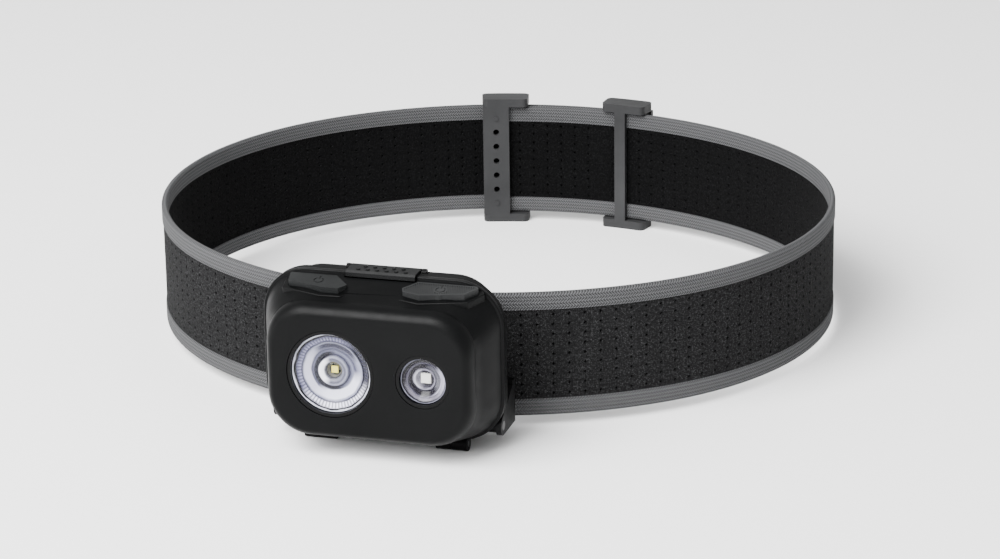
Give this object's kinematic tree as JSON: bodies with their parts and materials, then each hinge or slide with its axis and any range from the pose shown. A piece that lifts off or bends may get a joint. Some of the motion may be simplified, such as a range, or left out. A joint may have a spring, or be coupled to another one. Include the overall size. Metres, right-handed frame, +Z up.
{
  "type": "headlamp",
  "caption": "Headlamp on a perforated elastic band with slide buckles; the lamp tilts, its case opens on a hinge for the cells, and its buttons press.",
  "frame": {"origin": "below the middle of the whole object, on the plane through the buckles' and the case hinge's lowest points", "axes": "+Z up, -Y the way the lamp faces, +X to the left of a wearer, which is the right of someone looking at the lamp"},
  "size_m": [0.1864, 0.2073, 0.0463],
  "materials": {
    "band_mesh": "perforated knitted elastic, charcoal",
    "band_edge": "twill edge tape, mid grey",
    "bracket_plastic": "fine matte",
    "buckle_plastic": "satin",
    "case_plastic": "fine matte",
    "shell_plastic": "fine matte",
    "tab_plastic": "satin",
    "seal_rubber": "matte",
    "pin_steel": "satin",
    "bezel_plastic": "satin silver",
    "clear_optic": "clear polycarbonate",
    "led_body": "phosphor over a white base",
    "board": "solder mask",
    "spreader_aluminium": "plain",
    "screw_steel": "zinc plated",
    "tray_plastic": "fine matte",
    "cell_jacket": "printed jacket, plain",
    "spring_steel": "nickel plated",
    "contact_steel": "nickel plated",
    "switch_steel": "plain",
    "chip_plastic": "moulded",
    "power_plastic": "smooth satin",
    "mode_plastic": "fine ribs"
  },
  "bodies": {
    "headband": {"strap_panel": "band_mesh", "upper_binding": "band_edge", "lower_binding": "band_edge", "bracket": "bracket_plastic"},
    "left_buckle": {"left_buckle": "buckle_plastic"},
    "right_buckle": {"right_buckle": "buckle_plastic"},
    "rear_case": {"rear_case": "case_plastic", "case_gasket": "seal_rubber", "left_pivot_pin": "pin_steel", "right_pivot_pin": "pin_steel", "left_hinge_pin": "pin_steel", "right_hinge_pin": "pin_steel", "latch_pin": "pin_steel"},
    "latch_tab": {"latch_tab": "tab_plastic"},
    "lamp_head": {"front_shell": "shell_plastic", "spot_bezel": "bezel_plastic", "flood_bezel": "bezel_plastic", "spot_seal": "seal_rubber", "flood_seal": "seal_rubber", "spot_lens": "clear_optic", "flood_lens": "clear_optic", "spot_led": "led_body", "flood_led": "led_body", "led_board": "board", "heat_spreader": "spreader_aluminium", "board_screws": "screw_steel", "tray_screws": "screw_steel", "battery_tray": "tray_plastic", "cell_1": "cell_jacket", "cell_2": "cell_jacket", "cell_3": "cell_jacket", "cell_spring_1": "spring_steel", "cell_spring_2": "spring_steel", "cell_spring_3": "spring_steel", "left_pair_contact": "contact_steel", "left_contact": "contact_steel", "right_pair_contact": "contact_steel", "right_contact": "contact_steel", "power_seal": "seal_rubber", "mode_seal": "seal_rubber", "power_switch": "switch_steel", "mode_switch": "switch_steel", "switch_board": "board", "driver_chips": "chip_plastic"},
    "power_button": {"power_button": "power_plastic"},
    "mode_button": {"mode_button": "mode_plastic"}
  },
  "joints": [
    {"name": "head_tilt", "type": "hinge", "parent": "headband", "child": "rear_case", "pos_m": [0, -0.0869, 0.0068], "axis": [1, 0, 0], "range_deg": [0, 60]},
    {"name": "case_open", "type": "hinge", "parent": "rear_case", "child": "lamp_head", "pos_m": [0, -0.0889, 0.0019], "axis": [1, 0, 0], "range_deg": [0, 60]},
    {"name": "latch_lift", "type": "hinge", "parent": "rear_case", "child": "latch_tab", "pos_m": [0, -0.0855, 0.0449], "axis": [-1, 0, 0], "range_deg": [0, 12], "stiffness_Nm_per_rad": 0.02},
    {"name": "power_press", "type": "slide", "parent": "lamp_head", "child": "power_button", "axis": [0, 0.1908, -0.9816], "range_m": [0, 0.0005], "stiffness_N_per_m": 1500},
    {"name": "mode_press", "type": "slide", "parent": "lamp_head", "child": "mode_button", "axis": [0, 0.1908, -0.9816], "range_m": [0, 0.0005], "stiffness_N_per_m": 1500},
    {"name": "left_buckle_slide", "type": "hinge", "parent": "headband", "child": "left_buckle", "pos_m": [0.00105, 0.0038, 0], "axis": [0, 0, 1], "range_deg": [-5, 20]},
    {"name": "right_buckle_slide", "type": "hinge", "parent": "headband", "child": "right_buckle", "pos_m": [0.00105, 0.0038, 0], "axis": [0, 0, 1], "range_deg": [-20, 5]}
  ]
}
